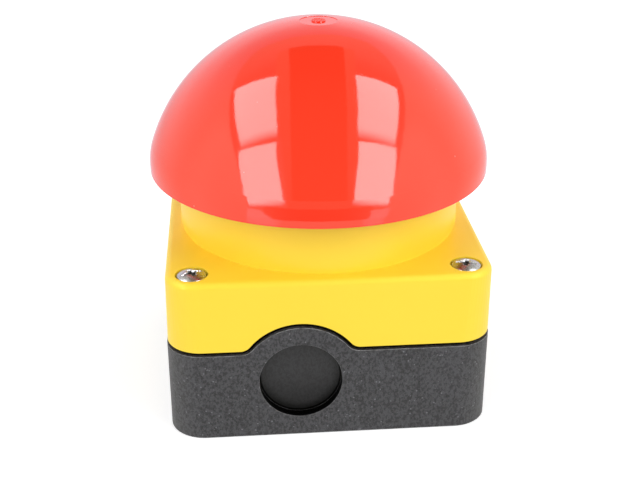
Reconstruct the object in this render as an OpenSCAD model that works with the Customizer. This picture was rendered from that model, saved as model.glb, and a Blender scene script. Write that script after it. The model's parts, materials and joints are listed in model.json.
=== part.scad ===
// Palm-operated emergency stop push button in a surface enclosure.
// Millimetres, +Z up. The origin is at the bottom centre of the base, and the
// cable knockout that the photograph shows looks towards -Y.

/* [Base] */
// Outer width and depth of the black base
base_w = 81; // [80:0.5:110]
// Corner radius of the enclosure seen from above
corner_r = 9; // [7:0.5:11]
// Height of the base up to its shoulder
base_h = 23.5; // [21:0.5:28]
// Thickness of the base's side walls
base_wall = 3; // [2.6:0.1:4]
// Thickness of the base's floor
floor_t = 2.8; // [2:0.1:4]
// Thickness of the lip that stands inside the cover
lip_t = 1.5; // [1.2:0.1:2]
// Height of the lip above the shoulder
lip_h = 3.75; // [3:0.25:6]
// Width of the shadow gap between base and cover
seam_gap = 1; // [0.4:0.1:1.5]

/* [Cable entries] */
// Diameter of the round knockouts for a cable gland
knockout_d = 20.6; // [16.5:0.1:25.5]
// Sideways place of the knockouts
knockout_x = -7.7; // [-12:0.1:12]
// Height of the knockouts' centre
knockout_z = 15.5; // [14:0.1:20]
// Depth of the knockouts' round recess
knockout_depth = 2.65; // [1.2:0.05:3]
// Radius of the base's arched tongue round a knockout
arch_r = 15; // [14:0.1:18]
// Fillet at the foot of the arched tongue
arch_foot = 4; // [2:0.1:6]

/* [Mounting] */
// Distance between the mounting holes' centres, each way
mount_pitch = 52; // [44:0.5:56]
// Diameter of the mounting holes
mount_hole_d = 5.3; // [4.3:0.1:6.4]

/* [Cover] */
// Height of the yellow cover's deck above the surface
deck_z = 43; // [40:0.5:52]
// How far the cover's lower edge stands back from the base
cover_setback = 0.15; // [0:0.05:0.5]
// How far the cover's sides lean in from the lower edge to the deck
cover_lean = 0.35; // [0:0.05:1]
// Thickness of the cover's deck
deck_t = 2.6; // [2:0.1:4]
// Rounding of the deck's outer edge
deck_edge_r = 1.5; // [0.5:0.1:3]
// Radius of the cover's corners at the deck
cover_corner_r = 7; // [5:0.5:9]
// Outer radius of the round drum under the dome
drum_r = 36.7; // [35:0.1:38]
// Wall thickness of the drum
drum_wall = 2.5; // [2:0.1:4]
// Depth of the spring well in the drum's top
well_depth = 6; // [4:0.5:8]

/* [Cover screws] */
// Distance of the cover screws from the base's side faces
screw_side = 7; // [6:0.1:9]
// Distance of the cover screws from the base's front and rear faces
screw_front = 6.4; // [6:0.1:9]
// Thread diameter of the cover screws
screw_d = 3.5; // [3:0.5:4]
// Head diameter of the cover screws
screw_head_d = 6.2; // [5.5:0.1:7.2]
// Head height of the cover screws
screw_head_h = 2; // [1.5:0.1:2.4]
// Depth of the screw heads below the deck
screw_sink = 0.2; // [0.2:0.1:1]
// Diameter of the countersunk holes in the deck
screw_hole_d = 8; // [7.4:0.1:9]

/* [Dome] */
// Radius of the dome at its rim
dome_r = 44; // [42:0.5:54]
// Height of the dome from its rim to its crown
dome_h = 37.5; // [34:0.1:45]
// How far the dome's rim hangs below the drum's top, unpressed
dome_lap = 3.75; // [2:0.25:6]
// Height of the narrow band at the rim
dome_band = 1.8; // [1:0.1:4]
// Radius of the dome's side in section
dome_side_r = 14.6; // [10:0.1:22]
// Wall thickness of the dome
dome_wall = 3; // [2:0.1:4]
// Number of ribs inside the dome
dome_ribs = 8; // [6:1:12]

/* [Plunger] */
// Travel of the button from rest to its stop
travel = 6; // [4:0.1:8]
// Radius of the plunger's stem
stem_r = 6; // [5:0.1:7.5]
// Running clearance round the stem and the latch bolts
running = 0.05; // [0.02:0.01:0.09]
// Length of the latch notch's taper over the stem's narrowing
latch_slope = 4; // [4:1:6]
// Radius of the latch bolts
bolt_r = 2.5; // [2:0.1:3]

/* [Springs] */
// Wire radius of the return spring
spring_wire_r = 0.9; // [0.6:0.1:1.1]
// Depth of the bellows' folds
bellows_fold = 2.4; // [1.6:0.1:3.5]
// Turns of the return spring
spring_turns = 5; // [3:0.5:6]

/* [Contact blocks] */
// Width of one contact block
block_w = 10.4; // [10:0.1:12]
// Length of one contact block
block_l = 42; // [42:0.5:48]
// Height of the sliders' frames inside the contact blocks
frame_h = 12.2; // [11:0.1:16]
// Gap between the two contact blocks
block_gap = 0.8; // [0.4:0.1:2]

/* [Hidden] */
$fn = 72;

// Colours as the photograph shows them
red = [0.93, 0.20, 0.12];
yellow = [1.00, 0.82, 0.20];
black = [0.16, 0.16, 0.17];
dark_grey = [0.32, 0.33, 0.35];
pale_grey = [0.78, 0.79, 0.80];
steel = [0.72, 0.73, 0.75];
brass = [0.80, 0.64, 0.30];
green = [0.20, 0.55, 0.30];

// Small overlap that keeps a cut or a joint from ending on a shared plane
eps = 0.01;
// Air between neighbours that only stand side by side
air = 0.3;
// Fit of a pressed-in piece
snug = 0.04;

// Base and the joint with the cover
skin_t = base_wall - lip_t;
lap_air = 0.1;
gasket_h = 1.5;
gasket_air = 0.1;
mount_boss_wall = 3.5;
mount_boss_h = 2.4;
knockout_skin_t = 1.2;
knockout_pad_rim = 1.5;

// Cover screws and their posts
screw_x = base_w / 2 - screw_side;
screw_y = base_w / 2 - screw_front;
screw_air = 0.25;
post_wall = 0.7;
post_r = screw_hole_d / 2 + post_wall;
post_z = base_h + 2.5;
insert_wall = 0.85;
insert_r = screw_d / 2 + insert_wall;
insert_l = 8;
screw_head_z = deck_z - screw_sink - screw_head_h;
screw_edge_r = 0.5;

// Contact blocks, from the base's floor up
top_wall = 2;
bottom_wall = 1.6;
side_wall = 1.2;
rebate = 0.9;
notch_h = 2.2;
wire_entry_r = 1.6;
slider_foot_r = 1.2;
slider_foot_h = 1.5;
chamber_floor_z = floor_t + bottom_wall;
frame_z = chamber_floor_z + slider_foot_h + travel + 0.5;
frame_top_z = frame_z + frame_h;
chamber_top_z = frame_top_z + 0.2;
block_top_z = chamber_top_z + top_wall;
block_h = block_top_z - floor_t;
block_x = (block_w + block_gap) / 2;
hook_air = 0.2;
chamber_y = 10.5;
pocket_y = 12;
pocket_x = 4;
pocket_z = block_top_z - 10;
slider_r = 2.5;
slider_top_z = block_top_z + travel + 0.5;
frame_x = 3.2;
frame_y = 3;
window_x = 2.3;
window_z = frame_z + 1.4;
window_top_z = frame_top_z - 1.4;
strip_w = 4;
strip_t = 0.8;
strip_air = 0.1;
strip_z = block_top_z - 5.3;
terminal_y = 16;
pad_l = 3.4;
nut_r = 2.6;
nut_h = 2.4;
clamp_r = 1.25;
clamp_w = 6.8;
clamp_l = 6.4;
clamp_t = 0.9;
clamp_head_r = 2.9;
clamp_head_h = 2;
clamp_slot = 0.8;
bridge_w = 4;
bridge_l = 18;
tip_r = 1.4;
tip_h = 0.5;
tip_y = 7.4;
nc_bridge_z = strip_z - 2.2;
no_bridge_z = window_z + 0.1;
nc_tip_z = nc_bridge_z + strip_t + tip_h + 0.1;
no_tip_z = no_bridge_z - tip_h - travel - 0.2;
hook_y = block_l / 2 + hook_air;
hook_w = 6;
hook_t = 2;
hook_h = 6.4;
hook_nose = 0.8;
hook_nose_z = 4.6;
guide_t = 1.6;
guide_l = 16;
guide_h = 3;

// Plunger, from its foot up to the latch housing
plate_z = slider_top_z + air;
plate_h = 4;
stem_foot_z = plate_z + plate_h;
stem_foot_l = 2.6;
clip_t = 1;
washer_t = 1.5;
clip_z = stem_foot_z + stem_foot_l;
clip_groove_r = stem_r - 0.8;
clip_out_r = stem_r + 2;
clip_mouth = 4;
washer_out_r = stem_r + 3.5;
stem_edge = 0.5;
bore_r = 2.2;
tie_r = 2;
tie_head_r = 3.5;
tie_head_h = 2.3;
tie_head_air = 0.2;
tie_head_z = plate_z + 0.4;
tie_hex_r = 1.7;
tie_hex_h = 1.4;
plate_edge_r = 2;
plate_half_x = block_x + slider_r + 2;
plate_half_y = 6.5;

// Latch housing under the drum
latch_z = clip_z + clip_t + washer_t + air;
latch_h = 10.5;
latch_top_z = latch_z + latch_h;
bush_r = stem_r + 2;
bush_flange_r = bush_r + 2;
bush_flange_t = 1.5;
latch_body_r = bush_flange_r + 1.6;
bolt_z = latch_top_z - 5.5;
bolt_l = 8;
nose_gap = 0.2;
bolt_tip_x = stem_r + nose_gap;
plug_r = bolt_r + 0.7;
plug_l = 3;
plug_slot = 0.8;
latch_spring_l = 6.8;
latch_wire_r = 0.3;
latch_arm_x = bolt_tip_x + bolt_l + latch_spring_l + plug_l;
latch_arm_r = bolt_r + 2.4;
neck_r = stem_r - travel / latch_slope;
neck_l = 3;

// Drum, its spring well and its guide boss
plate_t = 2.5;
well_wall = 2;
well_z = latch_top_z + plate_t;
drum_z = well_z + well_depth;
drum_ribs = 8;
drum_rib_t = 1.8;
drum_rib_h = 8;
drum_in_r = drum_r - drum_wall;
drum_edge_r = 2;
boss_r = bush_r + 2.5;
boss_z = drum_z + 10;

// Bellows, return spring and spring cup round the boss
collar_in_r = boss_r + 0.7;
collar_out_r = collar_in_r + 1.2;
fold_in_r = collar_out_r + air;
spring_r = fold_in_r + bellows_fold + 1 + spring_wire_r;
well_r = spring_r + spring_wire_r + 1.6;
cup_z = boss_z + travel + 2;
cup_t = 1.6;
cup_rim_t = 1;
cup_rim_h = 1.6;
collar_z = cup_z - 4;
cuff_h = 3;
spigot_r = 4;
spigot_l = 4;
spigot_air = 0.2;
lug_y = well_r + 4.5;
lug_r = 4;
lug_t = 3;
lug_boss_r = 3.5;
lug_screw_r = 1.5;
lug_screw_l = 7;
lug_head_r = 2.8;
lug_head_h = 2;

// Dome: a band, a side arc and a crown arc that touches it
dome_rim_z = drum_z - dome_lap;
dome_axis_z = dome_rim_z + dome_band;
dome_centre_r = dome_r - dome_side_r;
crown_over_side = dome_h - dome_band - dome_side_r;
crown_drop = (pow(dome_centre_r, 2) - pow(crown_over_side, 2)) / (2 * crown_over_side);
dome_crown_r = dome_h - dome_band + crown_drop;
crown_z = dome_axis_z - crown_drop;
crown_angle = atan2(crown_drop, dome_centre_r);
dome_top_z = dome_rim_z + dome_h;
hub_r = 9;
hub_z = cup_z + cup_t;
dome_insert_r = 3.2;
dome_insert_l = 5;
rib_t = 1.6;
rib_air = 1.5;
mark_r = 4.8;
mark_depth = 0.35;
mark_nub_r = 1.8;
mark_nub_h = 0.3;

// Rounded square of the enclosure, drawn in from the base's outer face
module plan(inset) {
    half = base_w / 2 - inset;
    r = max(corner_r - inset, 1);
    square([2 * half, 2 * (half - r)], center = true);
    square([2 * (half - r), 2 * half], center = true);
    for (x = [-1, 1], y = [-1, 1])
        translate([x * (half - r), y * (half - r)]) circle(r);
}

// Everything below the parting line, seen from the front: the line lies d above
// the shoulder, and the arches round the knockouts grow by d
module seam_outline(d) {
    line_z = base_h + d;
    r = arch_r + d;
    foot = arch_foot - d;
    translate([-base_w, -1]) square([2 * base_w, line_z + 1]);
    translate([knockout_x, knockout_z]) circle(r);
    if (foot > 0.2) {
        foot_z = line_z + foot;
        foot_x = sqrt(pow(r + foot, 2) - pow(foot_z - knockout_z, 2));
        for (side = [0, 1])
            translate([knockout_x, 0]) mirror([side, 0])
                difference() {
                    polygon([[0, knockout_z], [foot_x, foot_z], [foot_x, line_z - eps]]);
                    translate([foot_x, foot_z]) circle(foot);
                }
    }
}

module seam_block(d) {
    rotate([90, 0, 0]) linear_extrude(2 * base_w, center = true) seam_outline(d);
}

// A wall that follows the enclosure between two insets, as high as is needed
module wall(outer_inset, inner_inset, z) {
    translate([0, 0, z]) linear_extrude(deck_z)
        difference() {
            plan(outer_inset);
            plan(inner_inset);
        }
}

module at_cover_screws() {
    for (x = [-1, 1], y = [-1, 1])
        translate([x * screw_x, y * screw_y, 0]) children();
}

module at_mount_holes() {
    for (x = [-1, 1], y = [-1, 1])
        translate([x, y, 0] * mount_pitch / 2) children();
}

// Tube along Z
module tube(outer_r, inner_r, z, h) {
    translate([0, 0, z]) difference() {
        cylinder(h, r = outer_r);
        translate([0, 0, -1]) cylinder(h + 2, r = inner_r);
    }
}

// Round recess of a knockout, cut from the outside
module knockout_cut(side) {
    translate([knockout_x, side * base_w / 2, knockout_z]) rotate([side * 90, 0, 0])
        translate([0, 0, -1]) cylinder(1 + knockout_depth, d = knockout_d);
}

// Round pad inside the wall that keeps the knockout's skin thick enough
module knockout_pad(side) {
    pad_y = max(knockout_depth + knockout_skin_t, base_wall - eps);
    intersection() {
        translate([knockout_x, side * (base_w - base_wall) / 2, knockout_z]) rotate([side * 90, 0, 0])
            cylinder(pad_y - base_wall / 2, r = knockout_d / 2 + knockout_pad_rim);
        linear_extrude(knockout_z + arch_r) plan(eps);
    }
}

// Snap hook that holds one end of a contact block down
module block_hook(end) {
    translate([0, end * hook_y, 0]) rotate([90, 0, 90]) mirror([end < 0 ? 1 : 0, 0, 0])
        linear_extrude(hook_w, center = true)
            polygon([
                [0, floor_t - 1], [hook_t, floor_t - 1], [hook_t, floor_t + hook_h],
                [hook_nose, floor_t + hook_h],
                [-hook_nose, floor_t + hook_nose_z + hook_nose], [-hook_nose, floor_t + hook_nose_z],
                [0, floor_t + hook_nose_z]
            ]);
}

module base() {
    color(black) difference() {
        union() {
            linear_extrude(floor_t) plan(0);
            intersection() {
                wall(0, base_wall, 0);
                seam_block(0);
            }
            intersection() {
                wall(skin_t, base_wall, 0);
                seam_block(lip_h);
            }
            intersection() {
                at_cover_screws() cylinder(post_z, r = post_r);
                linear_extrude(post_z) plan(skin_t);
            }
            at_mount_holes() cylinder(floor_t + mount_boss_h, r = mount_hole_d / 2 + mount_boss_wall);
            for (side = [-1, 1]) knockout_pad(side);
            for (x = [-block_x, block_x], end = [-1, 1])
                translate([x, 0, 0]) block_hook(end);
            for (x = [-1, 1])
                translate([x * (block_x + block_w / 2 + air + guide_t / 2), 0, floor_t + guide_h / 2])
                    cube([guide_t, guide_l, guide_h + 1], center = true);
        }
        at_cover_screws() {
            translate([0, 0, post_z - insert_l - snug]) cylinder(insert_l + 1, r = insert_r + snug);
            translate([0, 0, floor_t + 2]) cylinder(post_z, d = screw_d + screw_air);
        }
        at_mount_holes() translate([0, 0, -1]) cylinder(9, d = mount_hole_d);
        for (side = [-1, 1]) knockout_cut(side);
    }
}

// Brass inserts that take the cover screws
module cover_inserts() {
    color(brass) at_cover_screws()
        tube(insert_r, screw_d / 2 + running, post_z - insert_l, insert_l);
}

// Skin of the cover: it leans in to the deck and rounds over at the deck's edge
module cover_skin() {
    reach = base_w / 2 - cover_setback - cover_lean - cover_corner_r;
    steps = 6;
    hull() {
        translate([0, 0, base_h + seam_gap]) linear_extrude(eps)
            plan(cover_setback, $fn = 48);
        for (x = [-1, 1], y = [-1, 1])
            translate([x * reach, y * reach, 0]) rotate_extrude($fn = 48)
                polygon(concat(
                    [[0, deck_z - 2 * deck_edge_r]],
                    [for (i = [0:steps])
                        [cover_corner_r - deck_edge_r * (1 - cos(90 * i / steps)),
                         deck_z - deck_edge_r * (1 - sin(90 * i / steps))]],
                    [[0, deck_z]]
                ));
    }
}

// Half section of the drum with its spring well and guide boss
module drum_section() {
    flat_r = drum_r - drum_edge_r;
    floor_z = well_z - plate_t;
    translate([drum_in_r, deck_z - deck_t]) square([drum_wall, drum_z - deck_z + deck_t - drum_edge_r]);
    translate([well_r, drum_z - plate_t]) square([flat_r - well_r, plate_t]);
    translate([drum_in_r - eps, drum_z - plate_t]) square([drum_wall + eps, plate_t - drum_edge_r]);
    translate([flat_r, drum_z - drum_edge_r]) intersection() {
        circle(drum_edge_r);
        square(drum_edge_r);
    }
    translate([well_r, floor_z]) square([well_wall, drum_z - floor_z]);
    translate([bush_r + snug, floor_z]) square([well_r - bush_r, plate_t]);
    translate([bush_r + snug, floor_z]) square([boss_r - bush_r - snug, boss_z - floor_z]);
}

module cover() {
    color(yellow) difference() {
        union() {
            difference() {
                cover_skin();
                linear_extrude(deck_z - deck_t) plan(base_wall);
                translate([0, 0, base_h]) cylinder(deck_z, r = drum_in_r);
            }
            rotate_extrude($fn = 120) drum_section();
            at_cover_screws() translate([0, 0, post_z]) cylinder(deck_z - 1 - post_z, r = post_r);
            for (i = [0:drum_ribs - 1])
                rotate([0, 0, 360 * (i + 0.5) / drum_ribs])
                    translate([well_r + 1, -drum_rib_t / 2, drum_z - plate_t - drum_rib_h])
                        cube([drum_in_r - well_r, drum_rib_t, drum_rib_h + eps]);
            for (y = [-lug_y, lug_y])
                translate([0, y, latch_top_z]) cylinder(drum_z - 1 - latch_top_z, r = lug_boss_r);
        }
        seam_block(seam_gap);
        intersection() {
            wall(skin_t - lap_air, base_wall + eps, base_h);
            seam_block(lip_h + gasket_h + gasket_air);
        }
        at_cover_screws() {
            translate([0, 0, screw_head_z]) cylinder(deck_z, d = screw_hole_d);
            translate([0, 0, base_h]) cylinder(deck_z, d = screw_d + 2 * screw_air);
        }
        for (y = [-lug_y, lug_y])
            translate([0, y, base_h]) cylinder(drum_z - plate_t - base_h, r = lug_screw_r + running);
    }
}

// Rubber cord between the lip of the base and the groove of the cover
module cover_gasket() {
    color(dark_grey) intersection() {
        wall(skin_t + gasket_air, base_wall - gasket_air, base_h);
        difference() {
            seam_block(lip_h + gasket_h);
            seam_block(lip_h);
        }
    }
}

module cover_screws() {
    flat_r = screw_head_d / 2 - screw_edge_r;
    color(steel) at_cover_screws() {
        translate([0, 0, screw_head_z]) rotate_extrude() {
            square([screw_head_d / 2, screw_head_h - screw_edge_r]);
            square([flat_r, screw_head_h]);
            translate([flat_r, screw_head_h - screw_edge_r]) circle(screw_edge_r, $fn = 24);
        }
        translate([0, 0, post_z - insert_l])
            cylinder(screw_head_z + 1 - post_z + insert_l, d = screw_d);
    }
}

// Flanged bush that guides the plunger
module guide_bush() {
    color(pale_grey) {
        tube(bush_r, stem_r + running, latch_top_z, boss_z - latch_top_z);
        tube(bush_flange_r, stem_r + running, latch_top_z - bush_flange_t, bush_flange_t);
    }
}

// Housing under the drum, with an arm for each latch bolt and a lug for each screw
module latch_housing() {
    color(dark_grey) difference() {
        union() {
            translate([0, 0, latch_z]) cylinder(latch_h, r = latch_body_r);
            translate([0, 0, bolt_z]) rotate([0, 90, 0])
                cylinder(2 * latch_arm_x, r = latch_arm_r, center = true);
            translate([-lug_r, -lug_y, latch_top_z - lug_t]) cube([2 * lug_r, 2 * lug_y, lug_t]);
            for (y = [-lug_y, lug_y])
                translate([0, y, latch_top_z - lug_t]) cylinder(lug_t, r = lug_r);
        }
        translate([0, 0, latch_z - 1]) cylinder(latch_h + 2, r = stem_r + running);
        translate([0, 0, latch_top_z - bush_flange_t - eps]) cylinder(latch_h, r = bush_flange_r + snug);
        translate([0, 0, bolt_z]) rotate([0, 90, 0])
            cylinder(2 * latch_arm_x + 2, r = bolt_r + running, center = true);
        for (side = [0, 180])
            rotate([0, 0, side]) translate([latch_arm_x - plug_l, 0, bolt_z]) rotate([0, 90, 0])
                cylinder(plug_l + 1, r = plug_r + snug);
        for (y = [-lug_y, lug_y])
            translate([0, y, latch_z]) cylinder(latch_h + 1, r = lug_screw_r + screw_air);
    }
}

module latch_housing_screws() {
    color(steel) for (y = [-lug_y, lug_y])
        translate([0, y, 0]) {
            translate([0, 0, latch_top_z - lug_t - lug_head_h]) cylinder(lug_head_h, r = lug_head_r);
            translate([0, 0, latch_top_z - lug_t - 1]) cylinder(lug_screw_l + 2, r = lug_screw_r);
        }
}

module at_latch_arms() {
    for (side = [180, 0])
        rotate([0, 0, side]) translate([0, 0, bolt_z]) children();
}

// Slotted plugs that close the arms behind the springs
module latch_plugs() {
    color(steel) at_latch_arms()
        difference() {
            translate([latch_arm_x - plug_l, 0, 0]) rotate([0, 90, 0]) cylinder(plug_l, r = plug_r);
            translate([latch_arm_x, 0, 0]) cube([2, plug_slot, 3 * plug_r], center = true);
        }
}

// Round bar swept along a helix about +Z, with its end turns closed
module coil(coil_r, wire_r, h, turns, sides, steps) {
    pitch_end = 2.2 * wire_r;
    count = round(turns * steps);
    inner_h = h - 2 * wire_r;
    rise = (inner_h - 2 * pitch_end) / (turns - 2);
    z_at = function (t)
        t < 1 ? pitch_end * t :
        t > turns - 1 ? inner_h - pitch_end * (turns - t) :
        pitch_end + rise * (t - 1);
    points = [
        for (i = [0:count])
            let (t = i / steps, a = 360 * t)
            for (j = [0:sides - 1])
                let (b = 360 * (j + 0.5) / sides, r = coil_r + wire_r * cos(b))
                [r * cos(a), r * sin(a), wire_r + z_at(t) + wire_r * sin(b)]
    ];
    skins = [
        for (i = [0:count - 1], j = [0:sides - 1])
            let (a = i * sides + j, b = i * sides + (j + 1) % sides)
            each [[a, b, b + sides], [a, b + sides, a + sides]]
    ];
    ends = [[for (j = [sides - 1:-1:0]) j], [for (j = [0:sides - 1]) count * sides + j]];
    polyhedron(points, concat(skins, ends), convexity = 10);
}

module latch_springs() {
    end_air = 0.1;
    color(steel) at_latch_arms()
        translate([bolt_tip_x + bolt_l + end_air, 0, 0]) rotate([0, 90, 0])
            coil(bolt_r - 0.7, latch_wire_r, latch_spring_l - 2 * end_air, 6, 6, 14);
}

// Bolt with a round nose that rides in the plunger's notch
module latch_bolt() {
    color(steel) {
        translate([bolt_tip_x + bolt_r, 0, bolt_z]) {
            sphere(bolt_r);
            rotate([0, 90, 0]) cylinder(bolt_l - bolt_r, r = bolt_r);
        }
    }
}

module latch_bolt_left() {
    rotate([0, 0, 180]) latch_bolt();
}

module latch_bolt_right() {
    latch_bolt();
}

// Half section of the dome, or of its hollow when it is drawn in by the wall
module dome_section(inset) {
    far = 2 * dome_crown_r;
    intersection() {
        union() {
            translate([0, dome_rim_z - inset]) square([dome_r - inset, dome_band + inset]);
            intersection() {
                translate([dome_centre_r, dome_axis_z]) circle(dome_side_r - inset, $fn = 144);
                translate([0, dome_axis_z - eps]) square(far);
            }
            intersection() {
                translate([0, crown_z]) circle(dome_crown_r - inset, $fn = 240);
                polygon([
                    [0, crown_z],
                    [far * cos(crown_angle), crown_z + far * sin(crown_angle)],
                    [0, crown_z + far]
                ]);
            }
        }
        translate([0, dome_rim_z - 2 * inset]) square(far);
    }
}

// Plate of one rib inside the dome, from the hub to the wall
module dome_rib() {
    low_z = drum_z + travel + rib_air;
    rotate([90, 0, 0]) linear_extrude(rib_t, center = true)
        intersection() {
            dome_section(dome_wall / 2);
            polygon([
                [hub_r - 1, hub_z + air], [well_r + rib_air, hub_z + air],
                [well_r + 9, low_z + 3], [dome_r - dome_wall - 3, low_z],
                [dome_r, low_z], [dome_r, dome_top_z], [hub_r - 1, dome_top_z]
            ]);
        }
}

// Shallow dimple at the crown with the moulding nub standing in its middle
module mould_mark() {
    translate([0, 0, dome_top_z - mark_depth]) difference() {
        cylinder(1, r = mark_r);
        translate([0, 0, -1]) cylinder(1 + mark_nub_h, r = mark_nub_r);
    }
}

module dome() {
    color(red) difference() {
        union() {
            rotate_extrude($fn = 144) difference() {
                dome_section(0);
                dome_section(dome_wall);
            }
            intersection() {
                translate([0, 0, hub_z]) cylinder(dome_top_z - hub_z, r = hub_r);
                rotate_extrude($fn = 144) dome_section(dome_wall / 2);
            }
            for (i = [0:dome_ribs - 1])
                rotate([0, 0, 360 * (i + 0.5) / dome_ribs]) dome_rib();
        }
        translate([0, 0, cup_z]) cylinder(spigot_l + spigot_air, r = spigot_r + snug);
        translate([0, 0, cup_z]) cylinder(spigot_l + dome_insert_l + 1, r = dome_insert_r + snug);
        mould_mark();
    }
}

module dome_insert() {
    color(brass) tube(dome_insert_r, tie_r + running, cup_z + spigot_l + spigot_air, dome_insert_l);
}

// Plate that the return spring pushes on, with a collar for the bellows
module spring_cup() {
    color(dark_grey) {
        tube(well_r, spigot_r + snug, cup_z, cup_t);
        tube(well_r, well_r - cup_rim_t, cup_z - cup_rim_h, cup_rim_h + eps);
        tube(collar_out_r, collar_in_r, collar_z, cup_z - collar_z + eps);
    }
}

module return_spring() {
    color(steel) translate([0, 0, well_z])
        coil(spring_r, spring_wire_r, cup_z - well_z, spring_turns, 8, 24);
}

// Folded rubber sleeve between the guide boss and the spring cup
module sealing_bellows() {
    cuff_z = drum_z + 4;
    cuff_air = 0.1;
    top_cuff_z = cup_z - cuff_h - 0.6;
    fold_t = 0.8;
    folds = 3;
    fold_z = cuff_z + cuff_h;
    fold_h = (top_cuff_z + cuff_air - fold_z) / folds;
    // inner face of the folds from the lower cuff up, then the outer face back down
    inner = [for (i = [0:2 * folds])
        [fold_in_r + (i % 2) * (bellows_fold - fold_t), fold_z + i * fold_h / 2]];
    outer = [for (i = [2 * folds:-1:0]) [inner[i][0] + fold_t, inner[i][1]]];
    color(dark_grey) {
        rotate_extrude() polygon(concat(inner, outer));
        tube(fold_in_r + fold_t, boss_r + cuff_air, cuff_z, cuff_h + cuff_air);
        tube(fold_in_r + fold_t + 0.2, collar_out_r + cuff_air, top_cuff_z, cuff_h + 0.4);
    }
}

module plunger() {
    neck_z = bolt_z + travel;
    color(pale_grey) rotate_extrude() polygon([
        [bore_r, stem_foot_z], [stem_r - stem_edge, stem_foot_z], [stem_r, stem_foot_z + stem_edge],
        [stem_r, clip_z - snug], [clip_groove_r, clip_z - snug],
        [clip_groove_r, clip_z + clip_t], [stem_r, clip_z + clip_t],
        [stem_r, bolt_z], [neck_r, neck_z], [neck_r, neck_z + neck_l], [stem_r, neck_z + neck_l],
        [stem_r, cup_z], [spigot_r, cup_z], [spigot_r, cup_z + spigot_l], [bore_r, cup_z + spigot_l]
    ]);
}

// Screw that ties plate, plunger and cup to the dome
module plunger_screw() {
    top_z = cup_z + spigot_l + dome_insert_l;
    color(steel) translate([0, 0, tie_head_z]) difference() {
        union() {
            cylinder(tie_head_h, r = tie_head_r);
            cylinder(top_z - tie_head_z, r = tie_r);
        }
        translate([0, 0, -1]) cylinder(1 + tie_hex_h, r = tie_hex_r, $fn = 6);
    }
}

// Plate at the plunger's foot that presses both contact blocks
module actuator_plate() {
    flat_x = plate_half_x - plate_edge_r;
    flat_y = plate_half_y - plate_edge_r;
    color(dark_grey) difference() {
        translate([0, 0, plate_z]) linear_extrude(plate_h) {
            square([2 * flat_x, 2 * plate_half_y], center = true);
            square([2 * plate_half_x, 2 * flat_y], center = true);
            for (x = [-flat_x, flat_x], y = [-flat_y, flat_y])
                translate([x, y]) circle(plate_edge_r);
        }
        translate([0, 0, plate_z - 1]) {
            cylinder(plate_h + 2, r = bore_r);
            cylinder(1 + tie_head_z - plate_z + tie_head_h + snug, r = tie_head_r + tie_head_air);
        }
    }
}

module stop_washer() {
    color(steel) tube(washer_out_r, stem_r + running, clip_z + clip_t, washer_t);
}

// Open retaining clip in the plunger's groove
module retaining_clip() {
    color(steel) difference() {
        tube(clip_out_r, clip_groove_r + snug, clip_z, clip_t);
        translate([-clip_mouth / 2, 0, clip_z - 1]) cube([clip_mouth, 2 * clip_out_r, clip_t + 2]);
    }
}

// Turns what is drawn at the contact block's end on +Y to its other end too
module at_both_ends() {
    for (end = [0, 1])
        mirror([0, end, 0]) children();
}

// Case of a contact block; side is the side on which its chamber is open
module block_housing(side) {
    chamber_h = chamber_top_z - chamber_floor_z;
    difference() {
        translate([-block_w / 2, -block_l / 2, floor_t]) cube([block_w, block_l, block_h]);
        mirror([side < 0 ? 1 : 0, 0, 0]) {
            translate([side_wall - block_w / 2, -chamber_y, chamber_floor_z])
                cube([block_w, 2 * chamber_y, chamber_h]);
            translate([block_w / 2 - side_wall, -chamber_y - rebate, chamber_floor_z - rebate])
                cube([block_w, 2 * (chamber_y + rebate), chamber_h + 2 * rebate]);
        }
        translate([0, 0, chamber_top_z - 1]) cylinder(top_wall + 2, r = slider_r + running);
        at_both_ends() {
            translate([-pocket_x, pocket_y, pocket_z])
                cube([2 * pocket_x, block_l / 2 - pocket_y - side_wall, block_h]);
            translate([-strip_w / 2 - strip_air, chamber_y - 1, strip_z - strip_air])
                cube([strip_w + 2 * strip_air, pocket_y - chamber_y + 2, strip_t + 2 * strip_air]);
            translate([0, block_l / 2 + 1, strip_z - wire_entry_r]) rotate([90, 0, 0])
                cylinder(side_wall + 2, r = wire_entry_r);
            translate([0, block_l / 2, floor_t + hook_nose_z + notch_h / 2 - hook_air])
                cube([hook_w + 2 * hook_air, 2, notch_h], center = true);
        }
    }
}

// Plate that closes the chamber, set into the rebate round its open side
module block_side_cover(side) {
    height = chamber_top_z - chamber_floor_z + 2 * (rebate - strip_air);
    translate([side * (block_w - side_wall) / 2, 0, (chamber_top_z + chamber_floor_z) / 2])
        cube([side_wall - strip_air, 2 * (chamber_y + rebate - strip_air), height], center = true);
}

// Strip from a terminal into the chamber, with a leg to the level of its tip; the
// tip looks up when low is true
module fixed_contact(low, tip_z) {
    leg_y = chamber_y - 0.2 - strip_t;
    inner_y = tip_y - tip_r - 0.2;
    contact_z = low ? tip_z - tip_h - strip_t : tip_z + tip_h;
    leg_z = min(contact_z, strip_z);
    difference() {
        union() {
            translate([-strip_w / 2, leg_y, strip_z])
                cube([strip_w, terminal_y + pad_l - leg_y, strip_t]);
            translate([-strip_w / 2, leg_y, leg_z])
                cube([strip_w, strip_t, max(contact_z, strip_z) - leg_z + strip_t]);
            translate([-strip_w / 2, inner_y, contact_z])
                cube([strip_w, leg_y + strip_t - inner_y, strip_t]);
            translate([0, tip_y, low ? contact_z : contact_z - tip_h]) cylinder(strip_t + tip_h, r = tip_r);
            translate([0, terminal_y, strip_z - nut_h]) cylinder(nut_h + strip_t / 2, r = nut_r);
        }
        translate([0, terminal_y, strip_z - nut_h - 1])
            cylinder(nut_h + strip_t + 2, r = clamp_r + running);
    }
}

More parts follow.
